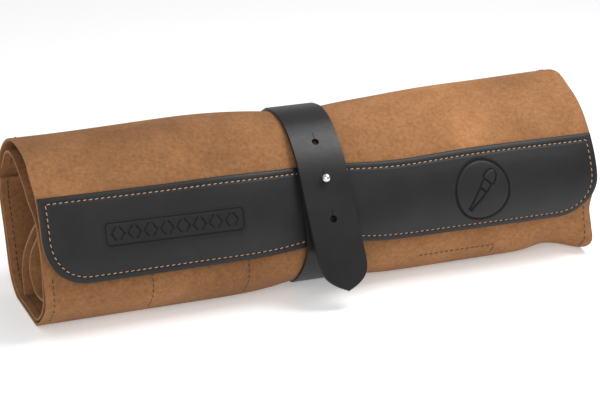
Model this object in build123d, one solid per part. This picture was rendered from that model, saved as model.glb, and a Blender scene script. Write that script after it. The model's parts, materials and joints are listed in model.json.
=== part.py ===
from build123d import *
import os
from math import acos, hypot, sin, tan

# Brush roll case, rolled up and buckled. Millimetres, +Z up, +X along the roll, the front at -Y.
# The origin is on the table under the middle of the whole object.

# Leather and thread
ROLL_LENGTH = 380.0
SUEDE = 1.6
BAND = 1.8
STRAP = 2.4
STRAP_WIDTH = 32.0
THREAD = 0.4
THREAD_WIDTH = 0.9
LAYER_GAP = 1.9

# The strap squeezes the roll into a waist
STRAP_X = -4.0
WAIST_HALF = 19.0
SLOPE_END = 52.0

# Black band on the flap, and its row of stitches
BAND_BOTTOM_MARGIN = 1.5
BAND_WIDTH = 52.0
BAND_CORNER = 22.0
BAND_INSET = 1.0
STITCH_INSET = 5.5

# Seams on the cover
SEAM_INSET = 5.0
POCKET_SEAMS_X = (-112.0, -46.0, 52.0, 118.0)

# Stud, holes and rivets
STUD_BELOW_END = 7.7
STUD_NECK_R = 1.8
STUD_BASE_R = 3.9
STUD_BASE = 0.7
STUD_HEAD_R = 3.0
STUD_HEAD_CUT = 1.4
SCREW_HEAD_R = 3.4
SCREW_HEAD = 0.9
TONGUE_GAP = 1.0
HOLE_PITCH = 25.0
HOLE_R = 2.35
STUD_SLOT_R = 3.5
STUD_SLOT_UP = 0.4
STUD_SLOT_DOWN = 7.6
RIVET_SPREAD = 8.0
RIVET_POST_R = 1.6
RIVET_CAP_R = 4.5
RIVET_CAP = 1.2
HEAD_GAP = 0.4

# Corners of the outer turn's section, as (y, z) at the middle of the suede, from the flap's
# free edge up over the top, down the back and along the bottom to the lower front
END_SECTION = [
    (-52, 31), (-38.5, 88), (-15, 106.6), (20, 108.5), (48, 97), (59, 70),
    (57, 44), (44, 15), (26, 0.8), (-30, 0.8), (-45, 18),
]
WAIST_SECTION = [
    (-49, 34), (-29, 87), (-16, 105), (20, 107.5), (46, 95), (56, 70),
    (54, 46), (42, 19), (24, 5.8), (-28, 5.8), (-42, 20),
]
BENDS = [20, 22, 14, 60, 28, 40, 40, 35, 25, 22, 20]
INNER_BENDS = [20, 19, 12, 45, 22]
FRONT_EDGE, SHOULDER, TOP, RIDGE, BACK_TOP, BACK_HIGH = range(6)
BACK_LOW, BACK_FOOT, BOTTOM_BACK, BOTTOM_FRONT, LOWER_FRONT = range(6, 11)

# Hinge lines, as (y, z), which stand in for the leather bending there
FLAP_HINGE = (-6.0, 107.3)
HINGE_GAP = 1.0

# Strap outside the waist, as (y, z) at the middle of its thickness
STRAP_OFFSET = SUEDE / 2 + 0.5 + STRAP / 2
TONGUE_START = (-7.0, 110.0)
TONGUE_SHOULDER = (-14.0, 108.0)
TONGUE_BEND_Z = 94.4
TONGUE_TIP_Z = 12.0
TONGUE_POINT = 21.0
STRAP_HINGE_Y = -24.5
STUD_END_START = (-30.5, 3.9)
STUD_END_BEND = (-62.0, 33.0)
STUD_END_TOP = (-35.4, 83.4)
STUD_END_RADIUS = 16.0


def unit(start, end):
    """The direction from one (y, z) point to another."""
    run = hypot(end[0] - start[0], end[1] - start[1])
    return (end[0] - start[0]) / run, (end[1] - start[1]) / run


def along(start, end, distance):
    """The point that lies a distance from start towards end."""
    way = unit(start, end)
    return start[0] + way[0] * distance, start[1] + way[1] * distance


def beside(route, distance):
    """The route moved sideways, outwards from the roll when distance is positive."""
    moved = []
    for start, end in zip(route, route[1:]):
        way = unit(start, end)
        shift = (-way[1] * distance, way[0] * distance)
        moved.append([(p[0] + shift[0], p[1] + shift[1]) for p in (start, end)])
    corners = [moved[0][0]]
    for (a, b), (c, d) in zip(moved, moved[1:]):
        first, second = unit(a, b), unit(c, d)
        cross = first[0] * second[1] - first[1] * second[0]
        reach = ((c[0] - a[0]) * second[1] - (c[1] - a[1]) * second[0]) / cross
        corners.append((a[0] + first[0] * reach, a[1] + first[1] * reach))
    corners.append(moved[-1][1])
    return corners


def face_line(route, bends):
    """One face of a sheet: straight runs joined by arcs that touch them."""
    runs, start = [], route[0]
    for before, corner, after, bend in zip(route, route[1:], route[2:], bends):
        back, ahead = unit(corner, before), unit(corner, after)
        half_turn = acos(back[0] * ahead[0] + back[1] * ahead[1]) / 2
        reach, depth = bend / tan(half_turn), bend / sin(half_turn) - bend
        arc_start, arc_end = along(corner, before, reach), along(corner, after, reach)
        chord_middle = ((arc_start[0] + arc_end[0]) / 2, (arc_start[1] + arc_end[1]) / 2)
        arc_middle = along(corner, chord_middle, depth)
        runs += [Line(start, arc_start), ThreePointArc(arc_start, arc_middle, arc_end)]
        start = arc_end
    return [*runs, Line(start, route[-1])]


def section(route, bends, thickness, x):
    """The closed outline of a sheet's cut end, at a place along the roll."""
    half = thickness / 2
    outer = face_line(beside(route, half), [bend + half for bend in bends])
    inner = face_line(beside(route, -half), [bend - half for bend in bends])
    last, first = Line(outer[-1] @ 1, inner[-1] @ 1), Line(inner[0] @ 0, outer[0] @ 0)
    loop = Wire([run.edge() for run in (*outer, last, *reversed(inner), first)])
    return Pos(X=x) * (Plane.YZ * loop)


def strip(route, bends, thickness, x_from, x_to):
    """A plain run of sheet between two places along the roll."""
    cut = make_face(section(route, bends, thickness, x_from))
    return extrude(cut, amount=x_to - x_from, dir=(1, 0, 0))


def squeezed_sheet(end_route, waist_route, bends, thickness, half_length=ROLL_LENGTH / 2):
    """A sheet as long as the roll, drawn in to the waist under the strap."""
    places = [
        (-half_length, end_route), (STRAP_X - SLOPE_END, end_route),
        (STRAP_X - WAIST_HALF, waist_route), (STRAP_X + WAIST_HALF, waist_route),
        (STRAP_X + SLOPE_END, end_route), (half_length, end_route),
    ]
    runs = []
    for (x_from, first), (x_to, second) in zip(places, places[1:]):
        if first is second:
            runs.append(strip(first, bends, thickness, x_from, x_to))
        else:
            cuts = [section(first, bends, thickness, x_from), section(second, bends, thickness, x_to)]
            runs.append(Part() + Solid.make_loft(cuts, ruled=True))
    return runs[0].fuse(*runs[1:])


def both(maker):
    """The same route worked out at the roll's ends and at its waist."""
    return maker(END_SECTION), maker(WAIST_SECTION)


def at_depth(outline, first, last, depth):
    """Corners first to last of the outer turn, moved inwards."""
    return beside(outline, -depth)[first:last + 1]


def at_height(start, end, height):
    """The point at a height on the line through two points."""
    share = (height - start[1]) / (end[1] - start[1])
    return start[0] + (end[0] - start[0]) * share, height


def at_reach(start, end, y):
    """The point at a depth y on the line through two points."""
    share = (y - start[0]) / (end[0] - start[0])
    return y, start[1] + (end[1] - start[1]) * share


def cover_route(outline):
    """From the flap's fold round the outside, then up inside the flap and over to the back."""
    start = at_reach(outline[TOP], outline[RIDGE], FLAP_HINGE[0] + HINGE_GAP)
    inner = beside(outline, -(SUEDE + LAYER_GAP))
    end = along(inner[BACK_TOP], inner[BACK_HIGH], 16)
    return [start, *outline[RIDGE:], *inner[FRONT_EDGE:BACK_TOP + 1], end]


def flap_route(outline):
    """From the flap's free edge up to its fold on top of the roll."""
    end = at_reach(outline[TOP], outline[RIDGE], FLAP_HINGE[0] - HINGE_GAP)
    return [*outline[FRONT_EDGE:RIDGE], end]


def on_band(outline, low, high, lift):
    """A run across the band, between two distances from its lower edge."""
    edge, shoulder = beside(outline, lift)[FRONT_EDGE:TOP]
    bottom = along(edge, shoulder, BAND_BOTTOM_MARGIN + low)
    return [bottom, along(edge, shoulder, BAND_BOTTOM_MARGIN + high)]


def pocket_route(outline):
    """Inside the front, along the bottom and up the back."""
    front = beside(outline, -2 * (SUEDE + LAYER_GAP))
    shell = beside(outline, -(SUEDE + LAYER_GAP))
    return [
        at_height(front[FRONT_EDGE], front[SHOULDER], 78), front[FRONT_EDGE],
        shell[LOWER_FRONT], shell[BOTTOM_FRONT], shell[BOTTOM_BACK], shell[BACK_FOOT],
        along(shell[BACK_FOOT], shell[BACK_LOW], 20),
    ]


def guard_route(outline):
    """The guard flap hangs inside the pockets and curls along the bottom."""
    front = beside(outline, -3 * (SUEDE + LAYER_GAP))
    shell = beside(outline, -2 * (SUEDE + LAYER_GAP))
    return [
        at_height(front[FRONT_EDGE], front[SHOULDER], 66), front[FRONT_EDGE],
        shell[BOTTOM_FRONT],
        along(shell[BOTTOM_FRONT], shell[BOTTOM_BACK], 26),
    ]


def rounded_front(half_width, bottom, corner):
    """Everything above a lower edge with two rounded corners, seen from the front."""
    height = 140.0
    middle = bottom + height / 2
    outline = Pos(0, middle) * Rectangle(2 * half_width, height)
    lower = outline.vertices().sort_by(Axis.Y)[:2]
    return extrude(Plane.XZ * fillet(lower, corner), amount=120, both=True)


def make_flap():
    routes = both(flap_route)
    sheet = squeezed_sheet(*routes, [BENDS[SHOULDER], BENDS[TOP]], SUEDE)
    lowest = END_SECTION[FRONT_EDGE][1] - SUEDE
    return sheet & rounded_front(ROLL_LENGTH / 2, lowest, BAND_CORNER)


def make_band():
    lift = (SUEDE + BAND) / 2
    routes = both(lambda outline: on_band(outline, 0, BAND_WIDTH, lift))
    band = squeezed_sheet(*routes, [], BAND)
    lowest = END_SECTION[FRONT_EDGE][1] + BAND_BOTTOM_MARGIN
    return band & rounded_front(ROLL_LENGTH / 2 - BAND_INSET, lowest, BAND_CORNER)


def make_band_thread():
    """Four runs of thread round the band, just above its face."""
    lift = SUEDE / 2 + BAND + THREAD / 2
    reach = ROLL_LENGTH / 2 - BAND_INSET - STITCH_INSET
    runs = []
    for low in (STITCH_INSET, BAND_WIDTH - STITCH_INSET - THREAD_WIDTH):
        routes = both(lambda outline: on_band(outline, low, low + THREAD_WIDTH, lift))
        shorter = reach - (BAND_CORNER if low == STITCH_INSET else 0)
        runs.append(squeezed_sheet(*routes, [], THREAD, half_length=shorter))
    for side in (-1, 1):
        route = on_band(END_SECTION, BAND_CORNER, BAND_WIDTH - STITCH_INSET - 2, lift)
        edge = side * reach - THREAD_WIDTH / 2
        runs.append(strip(route, [], THREAD, edge, edge + THREAD_WIDTH))
    return Compound(runs)


def make_cover():
    bends = [*BENDS[RIDGE:], *INNER_BENDS]
    return squeezed_sheet(*both(cover_route), bends, SUEDE) - rivet_pins(RIVET_POST_R)


def make_pocket_panel():
    bends = [15, 12, 16, 18, 25]
    return squeezed_sheet(*both(pocket_route), bends, SUEDE, ROLL_LENGTH / 2 - 3)


def make_tool_guard():
    bends = [10, 12]
    return squeezed_sheet(*both(guard_route), bends, SUEDE, ROLL_LENGTH / 2 - 6)


def make_seams():
    """Pocket seams that show on the lower front, and the seams along both ends."""
    lift = (SUEDE + THREAD) / 2
    outer = beside(END_SECTION, lift)
    front = [
        at_height(outer[BOTTOM_FRONT], outer[LOWER_FRONT], 12),
        at_height(outer[BOTTOM_FRONT], outer[LOWER_FRONT], 15.5),
    ]
    back = [
        at_height(outer[RIDGE], outer[BACK_TOP], 104), outer[BACK_TOP], outer[BACK_HIGH],
        outer[BACK_LOW], at_height(outer[BACK_LOW], outer[BACK_FOOT], 24),
    ]
    back_bends = [bend + lift for bend in BENDS[BACK_TOP:BACK_FOOT]]
    ends = [side * (ROLL_LENGTH / 2 - SEAM_INSET) for side in (-1, 1)]
    runs = []
    for x in (*POCKET_SEAMS_X, *ends):
        runs.append(strip(front, [], THREAD, x - THREAD_WIDTH / 2, x + THREAD_WIDTH / 2))
    for x in ends:
        edge = x - THREAD_WIDTH / 2
        runs.append(strip(back, back_bends, THREAD, edge, edge + THREAD_WIDTH))
    return Compound(runs)


def strap_piece(route, bends):
    half = STRAP_WIDTH / 2
    return strip(route, bends, STRAP, STRAP_X - half, STRAP_X + half)


def strap_back_route():
    """From the fold on top, down the back and under the roll."""
    outer = beside(WAIST_SECTION, STRAP_OFFSET)
    start = at_reach(outer[TOP], outer[RIDGE], TONGUE_START[0] + 2 * HINGE_GAP)
    return [start, *outer[RIDGE:BOTTOM_FRONT], (STRAP_HINGE_Y + HINGE_GAP, outer[BOTTOM_FRONT][1])]


def make_strap_back():
    bends = [bend + STRAP_OFFSET for bend in BENDS[RIDGE:BOTTOM_FRONT]]
    return strap_piece(strap_back_route(), bends) - rivet_pins(RIVET_POST_R)


def stud_end_route():
    outer = beside(WAIST_SECTION, STRAP_OFFSET)
    start = (STRAP_HINGE_Y - HINGE_GAP, outer[BOTTOM_FRONT][1])
    return [start, STUD_END_START, STUD_END_BEND, STUD_END_TOP]


def stud_plane():
    """Where the stud stands on the stud end: its centre, and Z straight out of the strap."""
    way = unit(STUD_END_TOP, STUD_END_BEND)
    y, z = along(STUD_END_TOP, STUD_END_BEND, STUD_BELOW_END)
    return Plane((STRAP_X, y, z), x_dir=(0, *way), z_dir=(0, way[1], -way[0]))


def make_stud_end():
    piece = strap_piece(stud_end_route(), [11, STUD_END_RADIUS])
    seat = Pos(Z=-STRAP / 2 + SCREW_HEAD / 2) * Cylinder(SCREW_HEAD_R, SCREW_HEAD)
    bore = Cylinder(STUD_NECK_R, 4 * STRAP)
    return piece - stud_plane() * (seat + bore)


def tongue_route():
    """Over the shoulder, then straight down outside the stud end and past it."""
    shift = STRAP + TONGUE_GAP
    top, bend = beside([STUD_END_TOP, STUD_END_BEND], -shift)
    straight = [at_height(top, bend, z) for z in (TONGUE_BEND_Z, TONGUE_TIP_Z)]
    return [TONGUE_START, TONGUE_SHOULDER, *straight]


def pointed_front():
    """Everything above the tongue's pointed end, seen from the front."""
    half = STRAP_WIDTH / 2
    low, shoulder, high = TONGUE_TIP_Z, TONGUE_TIP_Z + TONGUE_POINT, 130.0
    sides = Polyline((-half, shoulder), (-half, high), (half, high), (half, shoulder))
    right = ThreePointArc((half, shoulder), (half * 0.66, low + TONGUE_POINT * 0.36), (0, low))
    left = ThreePointArc((0, low), (-half * 0.66, low + TONGUE_POINT * 0.36), (-half, shoulder))
    outline = make_face([*sides.edges(), right, left])
    return Pos(X=STRAP_X) * extrude(Plane.XZ * outline, amount=120, both=True)


def make_tongue():
    """The pointed end, with a slot over the stud and a plain hole above and below it."""
    piece = strap_piece(tongue_route(), [20, 16]) & pointed_front()
    middle = (STUD_SLOT_DOWN - STUD_SLOT_UP) / 2
    length = STUD_SLOT_DOWN + STUD_SLOT_UP
    slot = Pos(X=middle) * (Box(length, 2 * STUD_SLOT_R, 40)
                            + Pos(X=-length / 2) * Cylinder(STUD_SLOT_R, 40)
                            + Pos(X=length / 2) * Cylinder(STUD_SLOT_R, 40))
    piece -= stud_plane() * slot
    for place in (-HOLE_PITCH, HOLE_PITCH):
        piece -= stud_plane() * Pos(X=place) * Cylinder(HOLE_R, 40)
    return piece


def make_stud():
    """A base on the strap's face, a neck through strap and tongue, and a round head."""
    face = STRAP / 2
    head_foot = face + TONGUE_GAP + STRAP + HEAD_GAP
    neck_low = -STRAP / 2 + SCREW_HEAD
    neck_high = head_foot + 0.5
    neck = Pos(Z=(neck_low + neck_high) / 2) * Cylinder(STUD_NECK_R, neck_high - neck_low)
    base = Pos(Z=face + STUD_BASE / 2) * Cylinder(STUD_BASE_R, STUD_BASE)
    ball = Pos(Z=head_foot + STUD_HEAD_CUT) * Sphere(STUD_HEAD_R)
    head = ball - Pos(Z=head_foot - 5) * Box(20, 20, 10)
    return stud_plane() * (neck + base + head)


def make_stud_screw():
    """The screw's flat head, let into the back of the strap, with a slot for a driver."""
    head = Pos(Z=-STRAP / 2 + SCREW_HEAD / 2) * Cylinder(SCREW_HEAD_R, SCREW_HEAD)
    driver_slot = Pos(Z=-STRAP / 2) * Box(2 * SCREW_HEAD_R, 0.8, 0.8)
    return stud_plane() * (head - driver_slot)


def rivet_places():
    """The two rivets, at the middle of the back's upright run, with Z straight out."""
    high, low = WAIST_SECTION[BACK_HIGH], WAIST_SECTION[BACK_LOW]
    way = unit(high, low)
    y, z = along(high, low, hypot(high[0] - low[0], high[1] - low[1]) / 2)
    for side in (-1, 1):
        middle = (STRAP_X + side * RIVET_SPREAD, y, z)
        yield Plane(middle, x_dir=(1, 0, 0), z_dir=(0, -way[1], way[0]))


def rivet_pins(radius):
    return Compound([place * Cylinder(radius, 30) for place in rivet_places()])


def make_rivet_caps():
    """The domed caps outside the strap."""
    foot = STRAP_OFFSET + STRAP / 2
    dome = Pos(Z=foot) * Cylinder(RIVET_CAP_R, RIVET_CAP, align=(Align.CENTER, Align.CENTER, Align.MIN))
    rim = dome.edges().sort_by(Axis.Z)[-1]
    dome = fillet(rim, RIVET_CAP * 0.7)
    return Compound([place * dome for place in rivet_places()])


def make_rivet_posts():
    """The posts through strap and cover, each with its flat foot inside."""
    top = STRAP_OFFSET + STRAP / 2
    low = -SUEDE / 2
    aligned = (Align.CENTER, Align.CENTER, Align.MIN)
    post = Pos(Z=low) * Cylinder(RIVET_POST_R, top - low, align=aligned)
    foot = Pos(Z=low - 0.8) * Cylinder(RIVET_CAP_R, 0.8, align=aligned)
    return Compound([place * (post + foot) for place in rivet_places()])


NODES = {
    "cover": make_cover,
    "pocket_panel": make_pocket_panel,
    "tool_guard": make_tool_guard,
    "cover_seams": make_seams,
    "flap": make_flap,
    "trim_band": make_band,
    "band_thread": make_band_thread,
    "strap_back": make_strap_back,
    "rivet_caps": make_rivet_caps,
    "rivet_posts": make_rivet_posts,
    "strap_tongue": make_tongue,
    "strap_stud_end": make_stud_end,
    "stud": make_stud,
    "stud_screw": make_stud_screw,
}

os.makedirs("parts", exist_ok=True)
made = {name: maker() for name, maker in NODES.items()}
whole = Compound([*made.values()]).bounding_box()
to_origin = Pos(Y=-(whole.min.Y + whole.max.Y) / 2, Z=-whole.min.Z)
for name, piece in made.items():
    export_step(to_origin * piece, f"parts/{name}.step")
print("moved to the origin by", to_origin.position)
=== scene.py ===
"""Brush roll case: tan suede rolled up, a black band on its flap, a strap buttoned over a stud.

Lengths here are millimetres in the part's own axes, +X along the roll and the front at -Y,
counted from a line under the roll. to_metres() moves them into the frame.
"""
import json
import math
import bmesh
import bpy
import numpy as np
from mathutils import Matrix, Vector


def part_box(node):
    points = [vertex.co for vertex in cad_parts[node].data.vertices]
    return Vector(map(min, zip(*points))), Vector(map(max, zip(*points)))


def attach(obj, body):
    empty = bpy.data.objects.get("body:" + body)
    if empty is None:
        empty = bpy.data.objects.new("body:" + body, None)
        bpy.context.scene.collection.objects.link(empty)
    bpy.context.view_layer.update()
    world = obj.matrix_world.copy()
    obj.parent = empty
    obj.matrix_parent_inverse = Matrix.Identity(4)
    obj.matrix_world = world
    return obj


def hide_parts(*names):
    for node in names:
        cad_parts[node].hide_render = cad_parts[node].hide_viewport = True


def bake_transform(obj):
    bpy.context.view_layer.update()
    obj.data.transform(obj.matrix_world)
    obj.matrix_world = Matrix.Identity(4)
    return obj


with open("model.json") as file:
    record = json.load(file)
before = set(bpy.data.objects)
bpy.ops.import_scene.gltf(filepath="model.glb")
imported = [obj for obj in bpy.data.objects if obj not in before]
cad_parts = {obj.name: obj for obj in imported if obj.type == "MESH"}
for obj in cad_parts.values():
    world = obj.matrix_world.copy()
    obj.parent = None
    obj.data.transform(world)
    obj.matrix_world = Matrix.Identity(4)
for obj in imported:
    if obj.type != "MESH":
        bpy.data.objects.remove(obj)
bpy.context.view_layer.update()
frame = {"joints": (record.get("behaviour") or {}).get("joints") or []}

# ---------------------------------------------------------------- frame and sizes
# FOLD_Y is the flap's fold in the lengths used here; the frame says where it lies there.
FOLD_Y = -6.0
FLAP_FOLD = next(joint for joint in frame["joints"] if joint["name"] == "flap_fold")
SHIFT_Y = FLAP_FOLD["pos_m"][1] * 1000 - FOLD_Y
HALF_LENGTH = (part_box("cover")[1].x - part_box("cover")[0].x) * 500
STRAP_X = (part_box("strap_back")[1].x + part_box("strap_back")[0].x) * 500
STRAP_WIDTH = (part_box("strap_back")[1].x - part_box("strap_back")[0].x) * 1000
SUEDE = 1.6
BAND = 1.8
STRAP = 2.4
STITCH_PITCH = 3.8
LOWEST = SUEDE / 2 + 0.05


def to_metres(points):
    """Points in millimetres, moved by the frame's shift and turned into metres."""
    points = np.asarray(points, float)
    return (points + np.array([0.0, SHIFT_Y, 0.0])) / 1000


# ---------------------------------------------------------------- section of the roll
# Each row is one place on the outer turn, as (y, z) at the left end, the waist and the
# right end: from the flap's free edge over the top, down the back and along the bottom.
OUTER = np.array([
    [(-52.6, 35.5), (-48.3, 37.5), (-42.3, 31)],
    [(-51.5, 52), (-44.5, 51), (-47.5, 47)],
    [(-46.5, 70), (-37.5, 67), (-45, 64)],
    [(-39, 87), (-30, 83), (-34, 82)],
    [(-27, 97), (-21, 94.5), (-19.5, 97)],
    [(-13, 107), (-8, 105), (-3, 106)],
    [(15, 108.7), (12, 107.6), (15, 111.8)],
    [(38, 100), (33.5, 97), (36, 105.5)],
    [(54, 84), (48.5, 81), (52, 87)],
    [(57.5, 62), (53.5, 59), (57, 62)],
    [(49, 38), (49, 36), (50, 35)],
    [(39, 12), (39.5, 17), (38, 12)],
    [(22, 0.9), (20, 7), (20, 0.9)],
    [(-4, 0.8), (-4, 6), (-4, 0.8)],
    [(-27, 1.5), (-26, 8), (-25, 3)],
    [(-47, 17), (-40.5, 20), (-37.5, 14)],
])
BAND_TOP, RIDGE, BACK_HIGH, BOTTOM_FRONT, LOWER_FRONT = 3, 6, 8, 14, 15
WAIST_REACH = 30.0
ROLL_SIDES = np.array([-100.0, 100.0])


def blended(rows, x):
    """The rows' (y, z) at each x: from the left end's to the right end's in a straight line,
    and towards the waist's by a bell curve about the strap. Shape (len(x), rows, 2)."""
    left, waist, right = (np.asarray(rows, float)[:, k] for k in range(3))
    share = ((x + HALF_LENGTH) / (2 * HALF_LENGTH))[:, None, None]
    plain = left + (right - left) * share
    middle = left + (right - left) * (STRAP_X + HALF_LENGTH) / (2 * HALF_LENGTH)
    pull = np.exp(-((x - STRAP_X) / WAIST_REACH) ** 2)[:, None, None]
    return plain + pull * (waist - middle)


def slack(y, z, x):
    """Soft unevenness of the leather, as a shift of (y, z): a few slow waves along the roll,
    a slight crown left of the strap and a dip right of it on the upper side."""
    upper = np.clip(z / 100, 0, 1) ** 2
    crown = 0.7 * np.exp(-((x + 70) / 30) ** 2) - 3.4 * np.exp(-((x - 48) / 40) ** 2)
    away = 1 - np.exp(-((x - STRAP_X) / 40) ** 2)
    wave = 0.7 * np.sin(x / 23 + z / 19) + 0.5 * np.sin(x / 41 - y / 17 + 1.3)
    drop = upper * crown + 0.5 * wave * away * upper
    push = 0.8 * wave * away * np.clip(z / 30, 0, 1) * np.tanh(y / 20)
    return push, drop


def smooth_line(points, count):
    """The curve through points of shape (n, rows, 2), at count places spread evenly by the
    rows' mean spacing."""
    reach = round_reach(points)
    place = np.interp(np.linspace(0, reach[-1], count), reach, np.arange(len(reach)))
    return line_at(points, place[None, :])


def line_at(points, place):
    """The Catmull-Rom curves through lines of shape (n, rows, 2), at places (n, count) counted
    in rows: the cubic of the four rows about each place."""
    span = np.clip(place.astype(int), 0, points.shape[1] - 2)
    t = (place - span)[..., None]
    padded = np.concatenate([
        2 * points[:, :1] - points[:, 1:2], points, 2 * points[:, -1:] - points[:, -2:-1],
    ], axis=1)
    a, b, c, d = (np.take_along_axis(padded, (span + k)[..., None], axis=1) for k in range(4))
    return 0.5 * (2 * b + (c - a) * t + (2 * a - 5 * b + 4 * c - d) * t ** 2
                  + (3 * b - a - 3 * c + d) * t ** 3)


def round_reach(points):
    """The distance along lines (n, rows, 2) to each row from the first: the running sum of
    the steps' mean lengths."""
    steps = np.linalg.norm(np.diff(points, axis=1), axis=2).mean(0)
    return np.concatenate([[0], np.cumsum(steps)])


def across(points):
    """Unit normals of lines of shape (n, count, 2), pointing away from the roll."""
    way = np.gradient(points, axis=1)
    way /= np.linalg.norm(way, axis=2, keepdims=True) + 1e-9
    return np.stack([-way[..., 1], way[..., 0]], axis=-1)


def surface(x, points):
    """Points (x, y, z) of a sheet: its (y, z) lines at the x places, shifted by the slack and
    kept off the table."""
    y, z = points[..., 0], points[..., 1]
    wide = np.broadcast_to(x[:, None], y.shape)
    push, drop = slack(y, z, wide)
    return np.stack([wide, y + push, np.maximum(z + drop, LOWEST)], axis=-1)


def normals_of(grid):
    """Unit normals of a grid of points: the cross product of its two directions."""
    along, round_it = np.gradient(grid, axis=0), np.gradient(grid, axis=1)
    normal = np.cross(along, round_it)
    return normal / (np.linalg.norm(normal, axis=2, keepdims=True) + 1e-12)


# ---------------------------------------------------------------- meshes
def new_piece(name, points, faces, material, smooth=True):
    """A mesh object at the origin from points in millimetres and faces of indices."""
    mesh = bpy.data.meshes.new(name)
    mesh.from_pydata(to_metres(points).tolist(), [], [tuple(map(int, f)) for f in faces])
    mesh.validate()
    mesh.polygons.foreach_set("use_smooth", np.full(len(mesh.polygons), smooth))
    mesh.materials.append(material)
    piece = bpy.data.objects.new(name, mesh)
    bpy.context.scene.collection.objects.link(piece)
    return piece


def paint(piece, name, values):
    """A number for each point of a piece, for its material to read."""
    attribute = piece.data.attributes.new(name, "FLOAT", "POINT")
    attribute.data.foreach_set("value", np.asarray(values, np.float32).ravel())


def strips(rows, columns, first=0, closed=False):
    """Quads between neighbouring rows of a grid of points, wrapping round when closed."""
    index = first + np.arange(rows * columns).reshape(rows, columns)
    if closed:
        index = np.concatenate([index, index[:, :1]], axis=1)
    a, b, c, d = index[:-1, :-1], index[1:, :-1], index[1:, 1:], index[:-1, 1:]
    return np.stack([a, b, c, d], axis=-1).reshape(-1, 4)


def thick_sheet(name, grid, thickness, material, lift=None, pressed_shade=None, rim_round=0.35,
                normal=None, joint=None):
    """A closed sheet: the grid's points moved out and in by half the thickness along its
    normals, and rims with a raised middle row. lift adds to the outer face. joint is the
    column, 0 or -1, where the sheet runs on into its neighbour and its rim stays flat."""
    normal = normals_of(grid) if normal is None else normal
    half = thickness / 2
    outer = grid + normal * (half if lift is None else half + lift[..., None])
    inner = grid - normal * half
    rows, columns = grid.shape[:2]
    index = np.arange(rows * columns).reshape(rows, columns)
    ring = np.concatenate([index[0, :], index[1:, -1], index[-1, -2::-1], index[-2:0:-1, 0]])
    flat_outer, flat_inner = outer.reshape(-1, 3), inner.reshape(-1, 3)
    size = rows * columns
    middle = (flat_outer[ring] + flat_inner[ring]) / 2
    inward = np.zeros_like(grid)
    inward[0], inward[-1] = grid[1] - grid[0], grid[-2] - grid[-1]
    inward[:, 0] += grid[:, 1] - grid[:, 0]
    inward[:, -1] += grid[:, -2] - grid[:, -1]
    out_way = -inward.reshape(-1, 3)[ring]
    out_way /= np.linalg.norm(out_way, axis=1, keepdims=True) + 1e-9
    bulge = np.full(len(ring), rim_round)
    if joint is not None:
        bulge[np.isin(ring, index[:, joint])] = 0.0
    middle = middle + out_way * bulge[:, None]
    points = np.concatenate([flat_outer, flat_inner, middle])
    face_out = strips(rows, columns)[:, ::-1]
    face_in = strips(rows, columns, first=size)
    count = len(ring)
    after = np.roll(np.arange(count), -1)
    rim_mid = 2 * size + np.arange(count)
    upper = np.stack([ring, ring[after], rim_mid[after], rim_mid], axis=-1)
    lower = np.stack([rim_mid, rim_mid[after], size + ring[after], size + ring], axis=-1)
    piece = new_piece(name, points, np.concatenate([face_out, face_in, upper, lower]), material)
    facing_out(piece)
    edge = np.zeros(len(points))
    edge[2 * size:] = bulge > 0
    paint(piece, "cut_edge", edge)
    # Painted shade of the pressed recesses, for the material to darken.
    if pressed_shade is not None:
        paint(piece, "pressed_shade", np.concatenate([pressed_shade.ravel(), np.zeros(size + count)]))
    return piece


def paint_nap_and_highlight(piece):
    """How pale the suede is painted: a bell curve along the roll for each pale patch, which
    fades out down the sides. Partly the nap lying the other way, partly a painted highlight on the top of
    the roll."""
    places = np.empty(len(piece.data.vertices) * 3)
    piece.data.vertices.foreach_get("co", places)
    x, _, z = places.reshape(-1, 3).T * 1000
    # Painted highlight: the pale patches lie on the top of the roll and fade out down its sides; partly
    # they are the nap lying the other way.
    pale = sum(share * np.exp(-((x - middle) / reach) ** 2) for middle, reach, share in NAP_AND_HIGHLIGHT_PATCHES)
    paint(piece, "nap_and_painted_highlight", pale * np.clip((z - LIT_TOP_FROM) / (LIT_TOP_FULL - LIT_TOP_FROM), 0, 1))


def facing_out(piece):
    """Turns every face of a closed mesh outwards, and keeps its folds crisp."""
    mesh = piece.data
    shape = bmesh.new()
    shape.from_mesh(mesh)
    bmesh.ops.recalc_face_normals(shape, faces=shape.faces)
    shape.to_mesh(mesh)
    shape.free()
    mesh.set_sharp_from_angle(angle=math.radians(50))


def turned(name, profile, plane, material, sides=40):
    """A turned piece: the profile's (radius, height) points carried round its axis.
    plane is (centre, axis) in millimetres; the profile starts and ends on the axis."""
    centre, axis = (np.asarray(v, float) for v in plane)
    axis = axis / np.linalg.norm(axis)
    right = np.array([1.0, 0, 0])
    up = np.cross(axis, right)
    turn = np.linspace(0, 2 * np.pi, sides, endpoint=False)
    profile = np.asarray(profile, float)
    radius, height = profile[:, 0][:, None], profile[:, 1][:, None]
    rings = (centre + height[..., None] * axis
             + radius[..., None] * (np.cos(turn)[None, :, None] * right
                                    + np.sin(turn)[None, :, None] * up))
    points = rings.reshape(-1, 3)
    faces = [tuple(f) for f in strips(len(profile), sides, closed=True)]
    faces += [tuple(range(sides)), tuple(range(len(points) - sides, len(points)))]
    piece = new_piece(name, points, faces, material)
    facing_out(piece)
    return piece


def joined(name, pieces):
    """Several meshes of one material made into one piece."""
    bpy.ops.object.select_all(action="DESELECT")
    for piece in pieces:
        piece.select_set(True)
    bpy.context.view_layer.objects.active = pieces[0]
    bpy.ops.object.join()
    pieces[0].name = name
    pieces[0].data.name = name
    return pieces[0]


# ---------------------------------------------------------------- materials
def base_material(name):
    """A new material, its nodes and links, its shader, and the piece's own coordinates."""
    material = bpy.data.materials.new(name)
    material.use_nodes = True
    nodes, links = material.node_tree.nodes, material.node_tree.links
    shader = nodes["Principled BSDF"]
    place = nodes.new("ShaderNodeTexCoord").outputs["Object"]
    return material, nodes, links, shader, place


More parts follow.
